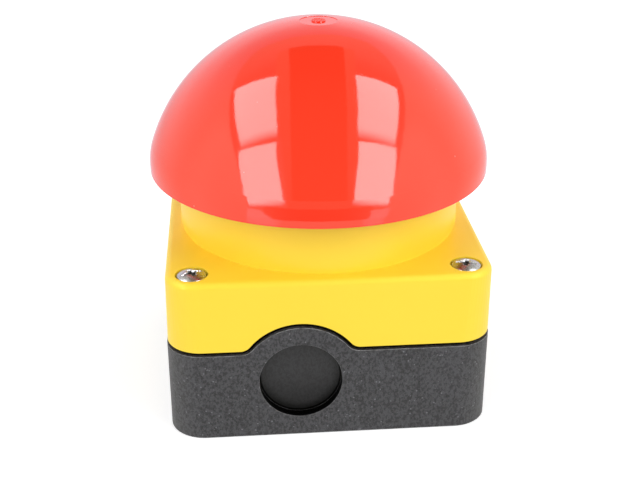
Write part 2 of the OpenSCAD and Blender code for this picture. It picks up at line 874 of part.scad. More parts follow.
// Strip that joins the two fixed contacts, with a tip at each end
module bridge(z, up) {
    translate([-bridge_w / 2, -bridge_l / 2, z]) cube([bridge_w, bridge_l, strip_t]);
    at_both_ends() translate([0, tip_y, up ? z : z - tip_h]) cylinder(strip_t + tip_h, r = tip_r);
}

module terminal_screws() {
    at_both_ends() translate([0, terminal_y, strip_z + strip_t + clamp_t]) difference() {
        union() {
            cylinder(clamp_head_h, r = clamp_head_r);
            translate([0, 0, air - clamp_t - strip_t - nut_h])
                cylinder(clamp_t + strip_t + nut_h, r = clamp_r);
        }
        translate([0, 0, clamp_head_h]) cube([3 * clamp_head_r, clamp_slot, 2 * clamp_slot], center = true);
    }
}

module clamp_plates() {
    at_both_ends() translate([0, terminal_y, strip_z + strip_t]) difference() {
        translate([0, 0, clamp_t / 2]) cube([clamp_w, clamp_l, clamp_t], center = true);
        translate([0, 0, -1]) cylinder(clamp_t + 2, r = clamp_r + running);
    }
}

// Slider with a window for the bridge and its spring, and a foot in its own spring
module slider() {
    window_h = window_top_z - window_z;
    difference() {
        union() {
            translate([-frame_x, -frame_y, frame_z]) cube([2 * frame_x, 2 * frame_y, frame_h]);
            translate([0, 0, frame_top_z - 0.5])
                cylinder(slider_top_z - frame_top_z + 0.5, r = slider_r);
            translate([0, 0, frame_z - slider_foot_h]) cylinder(slider_foot_h + 1, r = slider_foot_r);
        }
        translate([-window_x, -frame_y - 1, window_z]) cube([2 * window_x, 2 * frame_y + 2, window_h]);
    }
}

module slider_spring() {
    translate([0, 0, chamber_floor_z])
        coil(slider_foot_r + 0.8, 0.3, frame_z - chamber_floor_z, 5, 6, 12);
}

module contact_spring(z, top_z) {
    translate([0, 0, z]) coil(1.4, 0.25, top_z - z, 5, 6, 12);
}

// The normally closed block stands on the left
module at_nc() {
    translate([-block_x, 0, 0]) children();
}

module nc_housing() {
    color(dark_grey) at_nc() block_housing(-1);
}

module nc_side_cover() {
    color(pale_grey) at_nc() block_side_cover(-1);
}

module nc_fixed_contacts() {
    color(brass) at_nc() at_both_ends() fixed_contact(false, nc_tip_z);
}

module nc_terminal_screws() {
    color(steel) at_nc() terminal_screws();
}

module nc_clamp_plates() {
    color(steel) at_nc() clamp_plates();
}

module nc_slider() {
    color(red) at_nc() slider();
}

module nc_bridge() {
    color(brass) at_nc() bridge(nc_bridge_z, true);
}

module nc_contact_spring() {
    color(steel) at_nc() contact_spring(window_z, nc_bridge_z);
}

module nc_return_spring() {
    color(steel) at_nc() slider_spring();
}

// The normally open block stands on the right
module at_no() {
    translate([block_x, 0, 0]) children();
}

module no_housing() {
    color(dark_grey) at_no() block_housing(1);
}

module no_side_cover() {
    color(pale_grey) at_no() block_side_cover(1);
}

module no_fixed_contacts() {
    color(brass) at_no() at_both_ends() fixed_contact(true, no_tip_z);
}

module no_terminal_screws() {
    color(steel) at_no() terminal_screws();
}

module no_clamp_plates() {
    color(steel) at_no() clamp_plates();
}

module no_slider() {
    color(green) at_no() slider();
}

module no_bridge() {
    color(brass) at_no() bridge(no_bridge_z, false);
}

module no_contact_spring() {
    color(steel) at_no() contact_spring(no_bridge_z + strip_t, window_top_z);
}

module no_return_spring() {
    color(steel) at_no() slider_spring();
}

base();
cover_inserts();
cover();
cover_gasket();
cover_screws();
guide_bush();
latch_housing();
latch_housing_screws();
latch_plugs();
latch_springs();
latch_bolt_left();
latch_bolt_right();
dome();
dome_insert();
spring_cup();
return_spring();
sealing_bellows();
plunger();
plunger_screw();
actuator_plate();
stop_washer();
retaining_clip();
nc_housing();
nc_side_cover();
nc_fixed_contacts();
nc_terminal_screws();
nc_clamp_plates();
nc_slider();
nc_bridge();
nc_contact_spring();
nc_return_spring();
no_housing();
no_side_cover();
no_fixed_contacts();
no_terminal_screws();
no_clamp_plates();
no_slider();
no_bridge();
no_contact_spring();
no_return_spring();
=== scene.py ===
# %% [markdown]
# An emergency stop button for the palm: a glossy red dome over a yellow cover on
# a grained black base. The solid model already has every piece at its true size
# and place, so this script loads it first and then gives it its looks.

# %% Load the solid model
import json
import math

import bpy
import numpy as np
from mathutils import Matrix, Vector


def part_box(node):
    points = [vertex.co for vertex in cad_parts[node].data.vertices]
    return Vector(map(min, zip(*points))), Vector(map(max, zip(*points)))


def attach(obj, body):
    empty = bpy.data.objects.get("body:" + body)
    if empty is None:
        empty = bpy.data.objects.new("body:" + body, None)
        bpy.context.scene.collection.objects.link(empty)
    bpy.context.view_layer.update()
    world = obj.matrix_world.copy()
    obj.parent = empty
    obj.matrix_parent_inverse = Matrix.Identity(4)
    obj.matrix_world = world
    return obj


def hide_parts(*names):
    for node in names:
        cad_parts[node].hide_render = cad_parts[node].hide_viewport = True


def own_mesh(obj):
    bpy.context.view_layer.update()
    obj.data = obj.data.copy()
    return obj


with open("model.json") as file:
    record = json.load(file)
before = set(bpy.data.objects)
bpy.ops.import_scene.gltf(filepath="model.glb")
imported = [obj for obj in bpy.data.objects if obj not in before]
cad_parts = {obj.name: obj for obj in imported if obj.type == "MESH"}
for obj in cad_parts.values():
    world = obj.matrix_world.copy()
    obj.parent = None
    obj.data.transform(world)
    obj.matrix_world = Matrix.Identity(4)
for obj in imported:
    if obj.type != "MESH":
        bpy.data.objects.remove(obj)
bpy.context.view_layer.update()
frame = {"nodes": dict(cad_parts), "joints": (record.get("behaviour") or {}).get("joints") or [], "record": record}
nodes = frame["nodes"]

# %% [markdown]
# The camera stands where the photographer's stood: a little left of the middle
# and about 25 degrees above the button. Its place was worked out from the edges
# of the square box, so it is given as numbers and turned to look at a point
# inside the box.

# %% Camera
camera_place = Vector((-0.02315, -0.27809, 0.16596))
looks_at = Vector((0.000408, 0.0, 0.03478))
camera = bpy.data.objects.new("camera", bpy.data.cameras.new("camera"))
camera.data.sensor_width = 36.0
camera.data.lens = 63.53
camera.data.clip_start = 0.01
camera.location = camera_place
camera.rotation_mode = "QUATERNION"
camera.rotation_quaternion = (looks_at - camera_place).to_track_quat("-Z", "Y")
bpy.context.scene.collection.objects.link(camera)
bpy.context.scene.camera = camera
print("camera", round((looks_at - camera_place).length, 4), "m from the point it looks at")

# %% [markdown]
# A finish is a small network of nodes. Written as Python it stays readable: the
# class Field wraps one socket, and plus, minus, times and power write the Math
# nodes. The class Finish makes the material, and its one method add puts in any
# other node: the settings first, then the values or links of its sockets. Each
# finish is kept under its name, so that the pieces can ask for it later.

# %% Helpers for finishes
finishes = {}


class Field:
    """A number that varies over a surface. Arithmetic on it adds Math nodes."""

    def __init__(self, finish, socket):
        self.finish = finish
        self.socket = socket

    def _math(self, operation, *values):
        node = self.finish.add("ShaderNodeMath", {"operation": operation}, dict(enumerate(values)))
        return Field(self.finish, node.outputs[0])

    def __add__(self, other):
        return self._math("ADD", self, other)

    def __radd__(self, other):
        return self._math("ADD", other, self)

    def __sub__(self, other):
        return self._math("SUBTRACT", self, other)

    def __rsub__(self, other):
        return self._math("SUBTRACT", other, self)

    def __mul__(self, other):
        return self._math("MULTIPLY", self, other)

    def __rmul__(self, other):
        return self._math("MULTIPLY", other, self)

    def __pow__(self, other):
        return self._math("POWER", self, other)

    def __rpow__(self, other):
        return self._math("POWER", other, self)

    def peak(self, other):
        """The larger of two values."""
        return self._math("MAXIMUM", self, other)

    def above(self, edge, width):
        """0 below edge, 1 above edge + width, and a smooth step between."""
        span = {"interpolation_type": "SMOOTHSTEP"}
        node = self.finish.add("ShaderNodeMapRange", span, {0: self, 1: edge, 2: edge + width})
        return Field(self.finish, node.outputs[0])


class Finish:
    """One material or world, written node by node."""

    def __init__(self, name, kind="materials"):
        self.name = name
        self.made = getattr(bpy.data, kind).new(name)
        self.made.use_nodes = True
        self.tree = self.made.node_tree
        self.tree.nodes.clear()
        self.place = self.add("ShaderNodeTexCoord").outputs["Object"]

    def add(self, kind, settings=None, sockets=None):
        node = self.tree.nodes.new(kind)
        for name, value in (settings or {}).items():
            setattr(node, name, value)
        for name, value in (sockets or {}).items():
            value = value.socket if isinstance(value, Field) else value
            if isinstance(value, bpy.types.NodeSocket):
                self.tree.links.new(value, node.inputs[name])
            else:
                node.inputs[name].default_value = value
        return node

    def noise(self, scale, detail=2.0, roughness=0.5, stretch=(1, 1, 1)):
        """Smooth noise; scale is how many lumps there are in a metre."""
        place = self.add("ShaderNodeMapping", {}, {"Vector": self.place, "Scale": stretch})
        node = self.add("ShaderNodeTexNoise", {}, {
            "Vector": place.outputs[0], "Scale": scale, "Detail": detail, "Roughness": roughness})
        return Field(self, node.outputs["Fac"])

    def cells(self, scale):
        """Distance to the nearest of many scattered points, in cell widths."""
        node = self.add("ShaderNodeTexVoronoi", {}, {"Vector": self.place, "Scale": scale})
        return Field(self, node.outputs["Distance"])

    def blend(self, share, low, high):
        """Mixes two colours by a field."""
        node = self.add("ShaderNodeMix", {"data_type": "RGBA"}, {
            0: share, 6: (*low, 1) if isinstance(low, tuple) else low,
            7: (*high, 1) if isinstance(high, tuple) else high})
        return node.outputs[2]

    def bump(self, height, depth, edge=0.0):
        """Turns a height field into a normal; edge rounds the mesh's own edges."""
        sockets = {"Height": height, "Distance": depth, "Strength": 1.0}
        if edge:
            rounded = self.add("ShaderNodeBevel", {"samples": 6}, {"Radius": edge})
            sockets["Normal"] = rounded.outputs[0]
        return self.add("ShaderNodeBump", {}, sockets).outputs[0]

    def surface(self, **sockets):
        """Ends the material with a Principled shader, and keeps it under its name."""
        names = {k.replace("_", " "): v for k, v in sockets.items()}
        shader = self.add("ShaderNodeBsdfPrincipled", {}, names)
        self.add("ShaderNodeOutputMaterial", {}, {"Surface": shader.outputs[0]})
        finishes[self.name] = self.made
        print(self.name, "takes", len(self.tree.nodes), "nodes")

    def axes(self):
        """The three coordinates of a point, each as a field, in metres."""
        node = self.add("ShaderNodeSeparateXYZ", {}, {0: self.place})
        return [Field(self, s) for s in node.outputs]

    def edges(self, radius):
        """1 along the sharp edges of the mesh and 0 away from them."""
        soft = self.add("ShaderNodeBevel", {"samples": 6}, {"Radius": radius}).outputs[0]
        true = self.add("ShaderNodeNewGeometry").outputs["Normal"]
        node = self.add("ShaderNodeVectorMath", {"operation": "DOT_PRODUCT"}, {0: soft, 1: true})
        return (1 - Field(self, node.outputs["Value"])).above(0.02, 0.14)

    def shown(self):
        """1 for what the camera, a mirror or a glass sees, 0 for light on a matt surface."""
        path = self.add("ShaderNodeLightPath").outputs
        names = ("Is Camera Ray", "Is Glossy Ray", "Is Transmission Ray")
        seen, glossy, through = (Field(self, path[name]) for name in names)
        return (seen + glossy + through).above(0, 0.5)


print("a finish can use", [name for name in dir(Finish) if name[0] != "_"])

# %% [markdown]
# The dome is injection-moulded in a bright red plastic with a high gloss. Its
# colour is even, so the detail is in the skin: a very faint waviness, which
# shows where the lamps mirror in it, soft smears that dull it a little, and a
# few specks of dust.

# %% Red, high gloss
def red_gloss():
    """tip is 1 on the small round mark that the mould left at the crown, which is duller."""
    f = Finish("red_gloss")
    x, y = f.axes()[:2]
    tip = 1 - ((x * x + y * y) ** 0.5).above(0.0016, 0.0002)
    tone = f.noise(22, 2)
    dust = 1 - f.cells(190).above(0.028, 0.02)
    smear = f.noise(70, 3, 0.6, (1, 1, 0.4))
    red = f.blend(tone, (0.93, 0.035, 0.0108), (0.97, 0.040, 0.0135))
    f.surface(
        Base_Color=f.blend(dust * 0.35, red, (0.95, 0.42, 0.36)),
        Roughness=smear * 0.05 + 0.045 + dust * 0.4 + tip * 0.4,
        IOR=1.5,
        Normal=f.bump(f.noise(260, 2) + dust * 0.6, depth=0.000012, edge=0.00015))


red_gloss()

# %% [markdown]
# The cover is the same family of plastic in yellow, from a mould with a fine
# satin texture. The light on it is broad and soft, so the roughness is near the
# middle, with a fine grain in the normal and slow changes of gloss.

# %% Yellow, satin
def yellow_satin():
    f = Finish("yellow_satin")
    grain = f.noise(3200, 3, 0.6)
    tone = f.noise(30, 3)
    f.surface(
        Base_Color=f.blend(tone, (0.97, 0.68, 0.034), (0.99, 0.72, 0.043)),
        Roughness=f.noise(90, 3) * 0.10 + 0.33 + grain * 0.08,
        IOR=1.5,
        Normal=f.bump(grain, depth=0.000012, edge=0.00015))


yellow_satin()

# %% [markdown]
# The base is a glass-filled black plastic. Its skin is mottled: darker and paler
# patches under a half millimetre across that run a little upright, a coarse
# grain, and pale points where fibres come to the surface. The skin of the round
# knockout is smoother and darker, and its recess and the part of the base behind
# the cover's seam get painted shade. The sharp edges are rubbed a little paler,
# which is wear and also a painted highlight where an edge catches the light.

# %% Black, grained
knockout_x, knockout_z, knockout_r = -0.0077, 0.0155, 0.0103
wall_inside, wall_outside = 0.030, 0.0403
corner_middle, seam_r = 0.0315, 0.0076


def black_grain():
    """away is the distance from the knockout's axis, aside is |x| and far is |y|. shade nears 1
    where little light gets in: deep in the knockout's recess, and behind the cover's seam,
    inside a rounded square."""
    f = Finish("black_grain")
    x, y, z = f.axes()
    aside, far = (x * x) ** 0.5, (y * y) ** 0.5
    away = ((x - knockout_x) * (x - knockout_x) + (z - knockout_z) * (z - knockout_z)) ** 0.5
    outside = away.above(knockout_r - 0.0002, 0.0002)
    inside = (1 - away.above(knockout_r + 0.0001, 0.0001)) * far.above(wall_inside, 0.001)
    recess = inside * (wall_outside - far).above(0, 0.0003)
    sharp = f.edges(0.0003)
    # painted shade in the knockout's recess: strongest at its wall, and darker towards its bottom
    low = (knockout_z - z).above(-0.003, 0.012)
    rim = away.above(knockout_r - 0.0007, 0.0004) * 0.85
    rim = rim + away.above(knockout_r - 0.0031, 0.0030) * low * 0.30 + low * 0.45
    # painted shade on the part of the base that stands behind the cover's seam, inside a rounded square
    px, py = (aside - corner_middle).peak(0), (far - corner_middle).peak(0)
    corner = (px * px + py * py) ** 0.5
    seam = (1 - corner.above(seam_r, 0.0004)) * away.above(knockout_r + 0.0005, 0.0004)
    # all painted shade, made lighter along the sharp edges of the recess, which paints a thin highlight there
    shade = recess * rim * (1 - sharp * 0.5) + seam
    mottle = f.noise(1500, 3, 0.8, (1, 1, 0.7))
    patch = f.noise(110, 3)
    pits = 1 - f.cells(1500).above(0.20, 0.14)
    fibre = (1 - f.cells(850).above(0.12, 0.10)) * f.noise(500, 1).above(0.48, 0.12)
    tone = (mottle.above(0.40, 0.18) * 0.75 + patch * 0.36 - pits * 0.35) * (outside * 0.75 + 0.25)
    black = f.blend(tone, (0.004, 0.004, 0.0050), (0.056, 0.0555, 0.0615))
    # paler sharp edges: wear, and also a painted highlight where an edge catches the light; weaker in the knockout
    edge_paling = away.above(knockout_r + 0.0009, 0.0008) * 0.6 + 0.25
    wear_and_highlight = sharp * f.noise(600, 2).above(0.25, 0.35) * edge_paling
    scuffed_and_highlit = f.blend(wear_and_highlight, black, (0.42, 0.42, 0.43))
    skin = f.blend(fibre * outside * 0.45, scuffed_and_highlit, (0.26, 0.26, 0.28))
    height = (f.noise(1700, 4, 0.65) + fibre * 0.4 - pits * 0.4) * (outside * 0.8 + 0.2)
    # painted shade: the colour goes near black and the skin metallic, so that it mirrors almost nothing
    f.surface(
        Base_Color=f.blend(shade, skin, (0.002, 0.002, 0.002)),
        Metallic=shade * 0.9,
        Roughness=mottle * 0.22 + 0.40,
        IOR=1.47,
        Normal=f.bump(height, depth=0.00008, edge=0.00022))


black_grain()

# %% [markdown]
# Inside are plain technical plastics, rubber, steel and brass. They are simple,
# but none is one flat colour: moulded plastic has a faint grain, rubber is dull
# and a little dusty, and turned or drawn metal has fine lines along its length.

# %% Plastics and rubber inside
def moulded(name, low, high, rough):
    f = Finish(name)
    grain = f.noise(2600, 3, 0.6)
    f.surface(
        Base_Color=f.blend(f.noise(160, 3), low, high),
        Roughness=grain * 0.12 + rough,
        IOR=1.5,
        Normal=f.bump(grain, depth=0.00001, edge=0.0002))


def black_rubber():
    f = Finish("black_rubber")
    grain = f.noise(1800, 4, 0.7)
    dusty = f.noise(240, 4).above(0.45, 0.3)
    f.surface(
        Base_Color=f.blend(dusty * 0.5, (0.018, 0.018, 0.018), (0.055, 0.053, 0.050)),
        Roughness=grain * 0.2 + 0.62,
        Normal=f.bump(grain, depth=0.00002, edge=0.0002))


moulded("grey_plastic", (0.060, 0.062, 0.066), (0.085, 0.087, 0.092), rough=0.42)
moulded("pale_plastic", (0.66, 0.67, 0.68), (0.74, 0.75, 0.76), rough=0.38)
moulded("green_plastic", (0.030, 0.20, 0.075), (0.045, 0.25, 0.10), rough=0.38)
black_rubber()

# %% Steel and brass
def metal(name, low, high, rough):
    f = Finish(name)
    lines = f.noise(5200, 2, 0.5, (1, 1, 0.06))
    f.surface(
        Base_Color=f.blend(f.noise(900, 3), low, high),
        Metallic=1.0,
        Roughness=lines * 0.14 + rough,
        Normal=f.bump(lines, depth=0.000004, edge=0.00012))


def screw_steel():
    """Polished steel. The mesh's attribute pressed nears 1 in the recess, where painted shade
    makes the steel darker, less metallic and rougher.
    """
    f = Finish("screw_steel")
    pressed = Field(f, f.add("ShaderNodeAttribute", {"attribute_name": "pressed"}).outputs["Fac"])
    # painted shade in the drive recess, broken up a little by noise
    recess_shade = (pressed + f.noise(2500, 3) * 0.3).above(0.35, 0.35)
    steel = f.blend(f.noise(900, 3), (0.36, 0.36, 0.38), (0.50, 0.50, 0.52))
    f.surface(
        Base_Color=f.blend(recess_shade, steel, (0.020, 0.016, 0.013)),
        Metallic=1 - recess_shade * 0.8,
        Roughness=f.noise(1500, 3) * 0.08 + recess_shade * 0.35 + 0.24,
        Normal=f.bump(f.noise(700, 2), depth=0.00004))


metal("bright_steel", (0.60, 0.60, 0.61), (0.72, 0.72, 0.73), rough=0.22)
metal("turned_brass", (0.72, 0.50, 0.20), (0.82, 0.60, 0.28), rough=0.24)
screw_steel()

# %% [markdown]
# The record of the solid model says which finish each node has, so one loop
# dresses them all.

# %% Dress the nodes of the solid model
slot_of = {p["node"]: p["material_slot"] for p in frame["record"]["subparts"]}
for name, node in nodes.items():
    for place in node.material_slots:
        place.material = finishes[slot_of[name]]
print("dressed", len(slot_of), "nodes")

# %% [markdown]
# The four cover screws are stainless, with a domed head and the recess that
# takes a flat or a cross-shaped driver. Each is a profile turned about its axis;
# the recess is then pressed into the head as a drop in height. The screws stand
# in for the plain ones of the solid model, at the same places.

# %% Cover screws
def smooth(low, high, v):
    """0 where v is at low, 1 at high, and a smooth step between. low may be above high."""
    t = np.clip((v - low) / (high - low), 0, 1)
    return t * t * (3 - 2 * t)


def lathe(profile, turns=144):
    """A profile (r, z) turned about Z: p(i, a) = (r_i cos a, r_i sin a, z_i). The profile starts
    and ends on the axis, where all its faces meet in one vertex."""
    r, z = np.array(profile, float).T
    a = np.linspace(0, 2 * np.pi, turns, endpoint=False)
    ring = np.stack([np.outer(r[1:-1], np.cos(a)), np.outer(r[1:-1], np.sin(a)),
                     np.repeat(z[1:-1, None], turns, 1)], -1).reshape(-1, 3)
    points = np.vstack([ring, [[0, 0, z[0]], [0, 0, z[-1]]]])
    i, j = np.meshgrid(np.arange(len(r) - 3), np.arange(turns), indexing="ij")
    k = (j + 1) % turns
    quads = np.stack([i * turns + j, i * turns + k, (i + 1) * turns + k, (i + 1) * turns + j], -1)
    j = np.arange(turns)
    k, last, n = (j + 1) % turns, (len(r) - 3) * turns, len(ring)
    foot = np.stack([np.full(turns, n), k, j], -1)
    tip = np.stack([np.full(turns, n + 1), last + j, last + k], -1)
    return points, quads.reshape(-1, 4).tolist() + foot.tolist() + tip.tolist()


def drive_recess(x, y):
    """How far the head is pressed in at (x, y), from 0 to 1: a cross that narrows downwards, and a
    shallow slot along x."""
    cross = np.minimum(np.abs(x), np.abs(y))
    reach = np.maximum(np.abs(x), np.abs(y))
    arms = smooth(0.00058, 0.00034, cross) * smooth(0.00185, 0.00150, reach)
    core = smooth(0.00125, 0.00055, np.hypot(x, y))
    slot = smooth(0.00046, 0.00036, np.abs(y)) * smooth(0.0026, 0.0024, np.abs(x)) * 0.35
    return np.maximum(np.maximum(arms * 0.8, core), slot)


def screw(name, axis, tip, flat_top, turned):
    """One screw on its axis (x, y), from its tip to the flat top of the solid model's head. Its
    own head rises on from there, as r(u) = R (1 - u), z(u) = top - rise (1 - u)^2.4. It is
    turned by an angle in degrees."""
    head_r, shank_r, rise, lip, deepest = 0.0036, 0.00175, 0.0008, 0.0001, 0.0013
    top = flat_top + rise
    under = top - 0.0025
    u = np.linspace(0, 1, 80)
    crown = np.stack([(head_r - lip) * (1 - u), top - rise * (1 - u) ** 2.4], -1).tolist()
    profile = [(0, tip), (0.0015, tip), (shank_r, tip + 0.0003), (shank_r, under),
               (head_r - lip, under), (head_r, under + lip), (head_r, top - rise - lip)] + crown
    points, faces = lathe(profile)
    c, d = math.cos(math.radians(turned)), math.sin(math.radians(turned))
    x, y, z = points.T
    pressed = drive_recess(c * x + d * y, c * y - d * x) * smooth(top - 0.0009, top - 0.0006, z)
    mesh = bpy.data.meshes.new(name)
    points = np.stack([x + axis[0], y + axis[1], z - deepest * pressed], -1)
    mesh.from_pydata(points.tolist(), [], faces)
    attribute = mesh.attributes.new("pressed", "FLOAT", "POINT")
    attribute.data.foreach_set("value", pressed.astype(np.float32))
    mesh.shade_smooth()
    mesh.materials.append(finishes["screw_steel"])
    piece = bpy.data.objects.new(name, mesh)
    bpy.context.scene.collection.objects.link(piece)
    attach(piece, "enclosure")
    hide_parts("cover_screws")
    return piece


solid_head_r = 0.0031
low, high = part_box("cover_screws")
reach = (high[0] - solid_head_r, high[1] - solid_head_r)
for name, sx, sy, turned in (
        ("cover_screw_front_left", -1, -1, 28), ("cover_screw_front_right", 1, -1, -20),
        ("cover_screw_rear_left", -1, 1, 75), ("cover_screw_rear_right", 1, 1, 12)):
    made = screw(name, (sx * reach[0], sy * reach[1]), low[2], high[2], turned)
print("4 screws of", len(made.data.polygons), "faces")

# %% [markdown] Three coil springs and the rubber bellows get shorter as the button
# goes down. The nodes of the solid model slide as stiff things, and would go
# through their neighbours. Each of the four is made again as one closed skin: a
# ring of points carried along the wire, or the outline of the folds turned about
# the axis. The skins keep their full height.

# %% Closed skins for the springs and bellows
travel = next(joint["range_m"][1] for joint in frame["joints"] if joint["name"] == "button_press")


def shortening(name, node, points, finish, body, top_held, loop):
    """Joins the grid p(i, j) into a skin that closes in j. Where loop is true it closes in i
    too, and where not it has a face at each end."""
    rows, columns = points.shape[:2]
    i, j = np.meshgrid(np.arange(rows if loop else rows - 1), np.arange(columns), indexing="ij")
    k, m = (i + 1) % rows, (j + 1) % columns
    quads = np.stack([i * columns + j, k * columns + j, k * columns + m, i * columns + m], -1)
    last = (rows - 1) * columns
    ends = [] if loop else [list(range(columns)), list(range(last + columns - 1, last - 1, -1))]
    mesh = bpy.data.meshes.new(name)
    mesh.from_pydata(points.reshape(-1, 3).tolist(), [], quads.reshape(-1, 4).tolist() + ends)
    mesh.shade_smooth()
    mesh.set_sharp_from_angle(angle=math.radians(50))
    mesh.materials.append(finishes[finish])
    piece = bpy.data.objects.new(name, mesh)
    bpy.context.scene.collection.objects.link(piece)
    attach(piece, body)
    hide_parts(node)
    foot, top = float(points[..., 2].min()), float(points[..., 2].max())
    tall, held = top - foot, top if top_held else foot
    1 - travel / tall
    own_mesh(piece)
    print(name, round(1000 * tall, 1), "mm high, pressed", round(1000 * (tall - travel), 1), "mm")


print("travel", 1000 * travel, "mm")

# %% Coil springs
def spring(name, node, body, wire_r, turns=5):
    """The wire's middle is c(t) = (R cos 2 pi t, R sin 2 pi t, z(t)), where z climbs slowly in
    the first and the last turn, which lie shut. The skin is c(t) + r (e cos b + k sin b), with
    e outwards and k up."""
    low, high = (np.array(corner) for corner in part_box(node))
    middle, coil_r = (low + high) / 2, (high[0] - low[0]) / 2 - wire_r
    height, shut = high[2] - low[2] - 2 * wire_r, 2.2 * wire_r
    t = np.linspace(0, turns, turns * 40 + 1)
    rise = np.interp(t, (0, 1, turns - 1, turns), (0, shut, height - shut, height))
    a, b = 2 * np.pi * t[:, None], np.linspace(0, 2 * np.pi, 12, endpoint=False)
    r = coil_r + wire_r * np.cos(b)
    points = np.stack([middle[0] + r * np.cos(a), middle[1] + r * np.sin(a),
                       low[2] + wire_r + rise[:, None] + wire_r * np.sin(b)], -1)
    shortening(name, node, points, "bright_steel", body, top_held=True, loop=False)


spring("return_coil", "return_spring", "button", wire_r=0.0009)
spring("nc_return_coil", "nc_return_spring", "nc_contact", wire_r=0.0003)
spring("no_return_coil", "no_return_spring", "no_contact", wire_r=0.0003)

# %% Bellows
def bellows(name, node, boss_r, collar_r, folds=3, valley=0.0127, depth=0.0016, wall=0.0008):
    """Inside, the folds are r(s) = valley + depth (1 - cos 2 pi n s) / 2, and outside they are
    a wall further out. A cuff below grips the boss, one above grips the collar, and the
    outline turns about Z."""
    low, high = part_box(node)
    cuff, pitch, cuff_wall = 0.0030, 0.0025, 0.0012
    s = np.linspace(0, 1, 16 * folds + 1)
    fold = valley + depth * (1 - np.cos(2 * np.pi * folds * s)) / 2
    z = low[2] + cuff + pitch * folds * s
    inside = [(boss_r, low[2]), (boss_r, z[0]), *zip(fold, z),
              (collar_r, z[-1]), (collar_r, high[2])]
    outside = [(collar_r + cuff_wall, high[2]), (collar_r + cuff_wall, z[-1]),
               *zip(fold[::-1] + wall, z[::-1]), (valley + wall, low[2])]
    r, z = np.array(inside + outside).T[..., None]
    a = np.linspace(0, 2 * np.pi, 96, endpoint=False)
    points = np.stack([r * np.cos(a), r * np.sin(a), z + 0 * a], -1)
    shortening(name, node, points, "black_rubber", "enclosure",
               top_held=False, loop=True)


bellows("folded_bellows", "sealing_bellows", boss_r=0.0106, collar_r=0.0125)

# %% [markdown]
# The studio is a white tent. The floor is pale and keeps the button's shadow;
# seen by the camera it also glows a little, so that it runs into the white
# background. The world is white for what the camera and mirrors see, and gives
# less than that as light, so that the lamps can shape the button.

# %% Floor and world
def floor_piece(half=3.0, gap=0.0002):
    """A square under the button, a hair below its foot, so that the faces don't coincide."""
    mesh = bpy.data.meshes.new("floor")
    corners = [(-half, -half, 0), (half, -half, 0), (half, half, 0), (-half, half, 0)]
    mesh.from_pydata(corners, [], [(0, 1, 2, 3)])
    floor = bpy.data.objects.new("floor", mesh)
    floor.location.z = -gap
    floor.visible_glossy = False
    bpy.context.scene.collection.objects.link(floor)
    f = Finish("pale_floor")
    glow = f.add("ShaderNodeEmission", {}, {"Color": (1, 1, 1, 1), "Strength": f.shown() * 0.45})
    matt = f.add("ShaderNodeBsdfDiffuse", {}, {"Color": (0.82, 0.82, 0.82, 1)})
    both = f.add("ShaderNodeAddShader", {}, {0: glow.outputs[0], 1: matt.outputs[0]})
    f.add("ShaderNodeOutputMaterial", {}, {"Surface": both.outputs[0]})
    mesh.materials.append(f.made)


def white_world(light):
    """White for the camera and mirrors, and a grey of strength light for matt surfaces."""
    f = Finish("tent", "worlds")
    strength = f.shown() * (1 - light) + light
    tent = f.add("ShaderNodeBackground", {}, {"Color": (1, 1, 1, 1), "Strength": strength})
    f.add("ShaderNodeOutputWorld", {}, {"Surface": tent.outputs[0]})
    bpy.context.scene.world = f.made


floor_piece()
white_world(light=0.70)
bpy.context.scene.view_settings.view_transform = "Standard"
print("floor and world are in place")

# %% [markdown]
# What the gloss mirrors gives the dome its life: on each side a tall lamp in two
# panes, between them the dark opening that the camera looks through, pale cloth
# at the sides and a greyer back. Each is a ribbon of faces around the dome,
# given by the directions of its left and right edges. The directions come from
# the camera's line of sight, followed to the edge of a bright patch and off the
# dome. The ribbons show only in gloss, and give no light of their own.

# %% Sheets that only the gloss sees
dome_middle, sheet_rows = np.array([0, 0, 0.075]), 33


def towards(azimuth, elevation):
    """Unit vectors d(a, e) = (sin a cos e, -cos a cos e, sin e). Azimuth 0 is straight in front."""
    a, e = np.radians(azimuth), np.radians(elevation)
    return np.stack([np.sin(a) * np.cos(e), -np.cos(a) * np.cos(e), np.sin(e)], -1)


def smooth_edge(points):
    """A cubic p(t) = a t^3 + b t^2 + c t + d that lies closest to a few directions, where t is
    the share of the way along them, worked out at an evenly spaced t for each sheet row."""
    spots = towards(*np.array(points, float).T)
    way = np.r_[0, np.cumsum(np.linalg.norm(np.diff(spots, axis=0), axis=1))]
    cubic = np.polyfit(way / way[-1], spots, min(3, len(spots) - 1))
    t = np.linspace(0, 1, sheet_rows)[:, None]
    return sum(factor * t ** power for power, factor in enumerate(cubic[::-1]))


def between(left, right, columns=17):
    """Directions from one edge to the other: (1 - u) left(t) + u right(t), made unit length."""
    u = np.linspace(0, 1, columns)[None, :, None]
    d = smooth_edge(left)[:, None, :] * (1 - u) + smooth_edge(right)[:, None, :] * u
    return d / np.linalg.norm(d, axis=-1, keepdims=True)


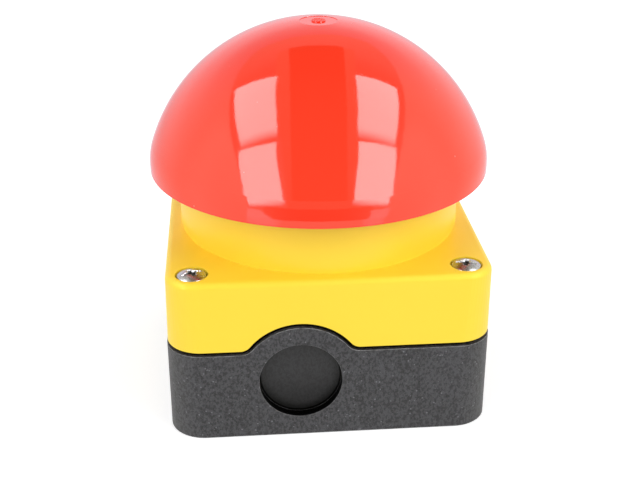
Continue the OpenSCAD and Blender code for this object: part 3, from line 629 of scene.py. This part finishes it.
def mirrored(name, directions, distance, glow, tint=(1, 1, 1)):
    """A sheet p = c + distance * d around the dome's middle c, in metres. It shines with glow times
    tint: glow is one number, or a value for each row or each point, and so is the colour tint."""
    rows, columns = directions.shape[:2]
    points = dome_middle + distance * directions
    corner = (np.arange(rows - 1)[:, None] * columns + np.arange(columns - 1)[None, :]).ravel()
    faces = np.stack([corner, corner + 1, corner + columns + 1, corner + columns], -1)
    mesh = bpy.data.meshes.new(name)
    mesh.from_pydata(points.reshape(-1, 3).tolist(), [], faces.tolist())
    shine = np.ones((rows, columns, 4), np.float32)
    shine[..., :3] = np.broadcast_to(glow, (rows, columns))[..., None] * tint
    mesh.attributes.new("shine", "FLOAT_COLOR", "POINT").data.foreach_set("color", shine.ravel())
    piece = bpy.data.objects.new(name, mesh)
    for ray in ("camera", "diffuse", "shadow", "transmission"):
        setattr(piece, "visible_" + ray, False)
    bpy.context.scene.collection.objects.link(piece)
    f = Finish(name)
    colour = f.add("ShaderNodeAttribute", {"attribute_name": "shine"}).outputs["Color"]
    light = f.add("ShaderNodeEmission", {}, {"Color": colour, "Strength": 1.0})
    f.add("ShaderNodeOutputMaterial", {}, {"Surface": light.outputs[0]})
    f.made.cycles.emission_sampling = "NONE"
    mesh.materials.append(f.made)


print("sheets hang around", dome_middle, "m, the dome's middle")

# %% [markdown]
# The cloth of the tent is brightest at the sides, where the lamps stand behind
# it, and falls off towards the back and the top. Made as one sheet all the way
# round, with its brightness as a formula, it leaves no edge in the gloss.

# %% The cloth all round
warm, cool = np.array([1.0, 0.97, 0.80]), np.array([1.0, 0.98, 1.06])


def cloth_light(azimuth, elevation):
    """Brightness (side(e) + front) (1 - s) + back(e) s, and the same mix of two tints, where s
    rises smoothly from 0 to 1 as |a| goes from 95 to 165 degrees. front brightens the low part
    beside the lamps."""
    side = np.interp(elevation, (-25, 0, 30, 45, 60, 78), (1.20, 1.38, 1.52, 1.52, 1.15, 0.9))
    back = np.interp(elevation, (-25, -5, 8, 22, 30, 40, 50, 65),
                     (0.95, 0.80, 1.12, 1.12, 0.84, 0.68, 0.48, 0.46))
    front = 0.5 * smooth(104, 80, np.abs(azimuth + 5)) * smooth(46, 30, elevation)
    s = smooth(95, 165, np.abs(azimuth))
    tint = warm * (1 - s[..., None]) + cool * s[..., None]
    return (side + front) * (1 - s) + back * s, tint


azimuth, elevation = np.meshgrid(np.linspace(-180, 180, 121), np.linspace(88, -25, 58))
glow, tint = cloth_light(azimuth, elevation)
mirrored("cloth", towards(azimuth, elevation), 3.2, glow, tint)
print("cloth from", round(glow.max(), 2), "to", round(glow.min(), 2))

# %% [markdown]
# In front are the two lamps, each with an upper and a lower pane, in a frame of
# darker cloth. Between them hangs a grey screen with the opening for the camera,
# and the table's front edge lies below, with a glint at each end. What lies
# nearer hides what hangs behind it, so the sheets are at 2.2 to 3.2 metres.

# %% Lamps and opening in front
def rows_of(*stops):
    """A value for each row of a sheet, in straight lines between stops (share, value)."""
    return np.interp(np.linspace(0, 1, sheet_rows), *zip(*stops))[:, None]


mirrored("frame", between(
    [(-155.4, 38.2), (-146.4, 43.2), (-121.5, 43.2), (-111.5, 41.2), (-91.5, 38.2),
     (-77.5, 33.7), (-69.5, 29.7), (-60.5, 20.2), (-53.5, 10.2), (-49.5, -7.8)],
    [(152.6, 36.2), (140.6, 43.2), (113.5, 43.2), (101.5, 42.2), (80.5, 40.2),
     (67.5, 35.7), (58.5, 30.7), (50.5, 20.2), (43.5, 11.2), (39.5, -7.8)], columns=33), 2.8,
    rows_of((0, 0.68), (0.2, 0.7), (0.3, 0.52), (0.42, 0.62), (0.55, 0.8), (0.8, 1.1), (1, 1.3)),
    warm)
mirrored("screen", between(
    [(-157.4, 52.2), (-122.5, 66.2), (-97.5, 67.2), (-75.5, 64.8), (-57.5, 59.2),
     (-43.5, 54.2), (-35.5, 44.2), (-30.4, 32.2), (-26.4, 15.2), (-25.4, -14.8)],
    [(150.6, 52.2), (114.5, 69.2), (88.5, 70.0), (64.5, 66.8), (46.5, 60.2),
     (36.5, 53.2), (29.6, 42.2), (24.6, 31.2), (19.6, 15.2), (18.6, -14.8)]),
    2.6, rows_of((0, 0.6), (0.3, 0.75), (1, 0.8)), (1.0, 1.0, 0.70))
mirrored("opening", between(
    [(-165.4, 52.8), (-160.4, 58.2), (-141.4, 69.2), (-96.5, 75.2), (-53.5, 69.2),
     (-36.5, 57.2), (-28.4, 45.2), (-25.4, 33.2), (-22.9, 21.2), (-21.4, 14.2)],
    [(158.6, 52.8), (153.6, 59.2), (134.6, 70.2), (88.5, 75.2), (44.5, 69.2),
     (27.6, 57.2), (20.6, 45.2), (16.9, 33.2), (14.9, 21.2), (13.6, 14.2)]),
    2.4, rows_of((0, 0.12), (0.2, 0.14), (0.35, 0.22), (0.6, 0.32), (1, 0.42)), (1.0, 1.0, 0.60))
across = np.linspace(-1, 1, 33)
mirrored("table", towards(*np.meshgrid(35 * across - 5, np.linspace(-1, -21, sheet_rows))), 2.4,
         0.25 + 0.6 * np.abs(across) ** 3, warm)
mirrored("pane_left_upper", between(
    [(-117.7, 44.9), (-109.0, 44.9), (-99.4, 44.1), (-90.4, 42.5), (-80.5, 39.8), (-67.0, 33.5)],
    [(-126.2, 66.2), (-101.0, 67.5), (-79.5, 65.8), (-65.7, 62.5), (-55.2, 58.1), (-43.7, 49.0)]),
    2.2, rows_of((0, 7.0), (0.5, 7.7), (0.84, 7.8), (0.92, 5.0), (1, 0.9)))
mirrored("pane_right_upper", between(
    [(119.0, 68.2), (84.8, 69.5), (63.5, 66.5), (50.9, 62.5), (42.8, 58.0), (33.0, 49.0)],
    [(108.1, 47.5), (98.8, 47.4), (89.0, 46.2), (80.0, 44.2), (70.1, 41.1), (57.2, 34.0)]),
    2.2, rows_of((0, 7.4), (0.5, 8.0), (0.84, 8.1), (0.92, 5.0), (1, 0.9)))
mirrored("pane_left_lower", between(
    [(-68.2, 32.0), (-64.2, 26.6), (-60.0, 20.8), (-55.4, 14.8),
     (-51.5, 9.8), (-50.6, -0.2), (-48.6, -7.2)],
    [(-43.0, 46.0), (-38.8, 39.5), (-35.1, 32.6), (-32.0, 25.8),
     (-29.0, 18.8), (-26.4, 12.2), (-25.6, 3.8)]),
    2.2, rows_of((0, 8.1), (0.82, 8.2), (0.91, 5.0), (1, 1.0)))
mirrored("pane_right_lower", between(
    [(32.0, 47.0), (27.9, 40.0), (24.7, 33.1), (22.0, 26.1),
     (19.5, 19.1), (16.9, 12.4), (16.6, 4.0)],
    [(58.8, 34.0), (54.5, 28.4), (50.6, 22.6), (46.1, 16.4),
     (42.0, 10.1), (41.0, 0.5), (38.7, -6.7)]),
    2.2, rows_of((0, 8.8), (0.82, 8.9), (0.91, 5.0), (1, 1.0)))
mirrored("glint_left", between(
    [(-49.5, -8.8), (-51.0, -15.8), (-52.5, -24.2)],
    [(-42.5, -8.8), (-38.5, -14.8), (-29.4, -24.2)]), 2.2, 2.6)
mirrored("glint_right", between(
    [(27.6, -8.8), (28.6, -14.8), (23.6, -24.2)],
    [(40.9, -8.8), (40.5, -15.8), (38.5, -24.2)]), 2.2, 2.6)
print("10 sheets in front")

# %% [markdown]
# The light itself is broad and even. It comes from two large lamps, one on each
# side of the camera and high above it, so that the dome shades the drum a little.

# %% Light
lit_spot = Vector((0, 0, 0.05))


def area_light(name, place, size, power):
    """A lamp of size (width, height) that faces the button. The gloss doesn't see it."""
    data = bpy.data.lights.new(name, "AREA")
    data.shape = "RECTANGLE"
    data.size, data.size_y = size
    data.energy = power
    light = bpy.data.objects.new(name, data)
    light.location = place
    light.rotation_mode = "QUATERNION"
    light.rotation_quaternion = (lit_spot - Vector(place)).to_track_quat("-Z", "Y")
    light.visible_glossy = False
    light.visible_camera = False
    bpy.context.scene.collection.objects.link(light)
    print(name, "gives", power, "W")


area_light("fill_left", (-1.05, -0.8, 0.85), size=(0.8, 1.0), power=7.1)
area_light("fill_right", (1.05, -0.8, 0.85), size=(0.8, 1.0), power=8.6)
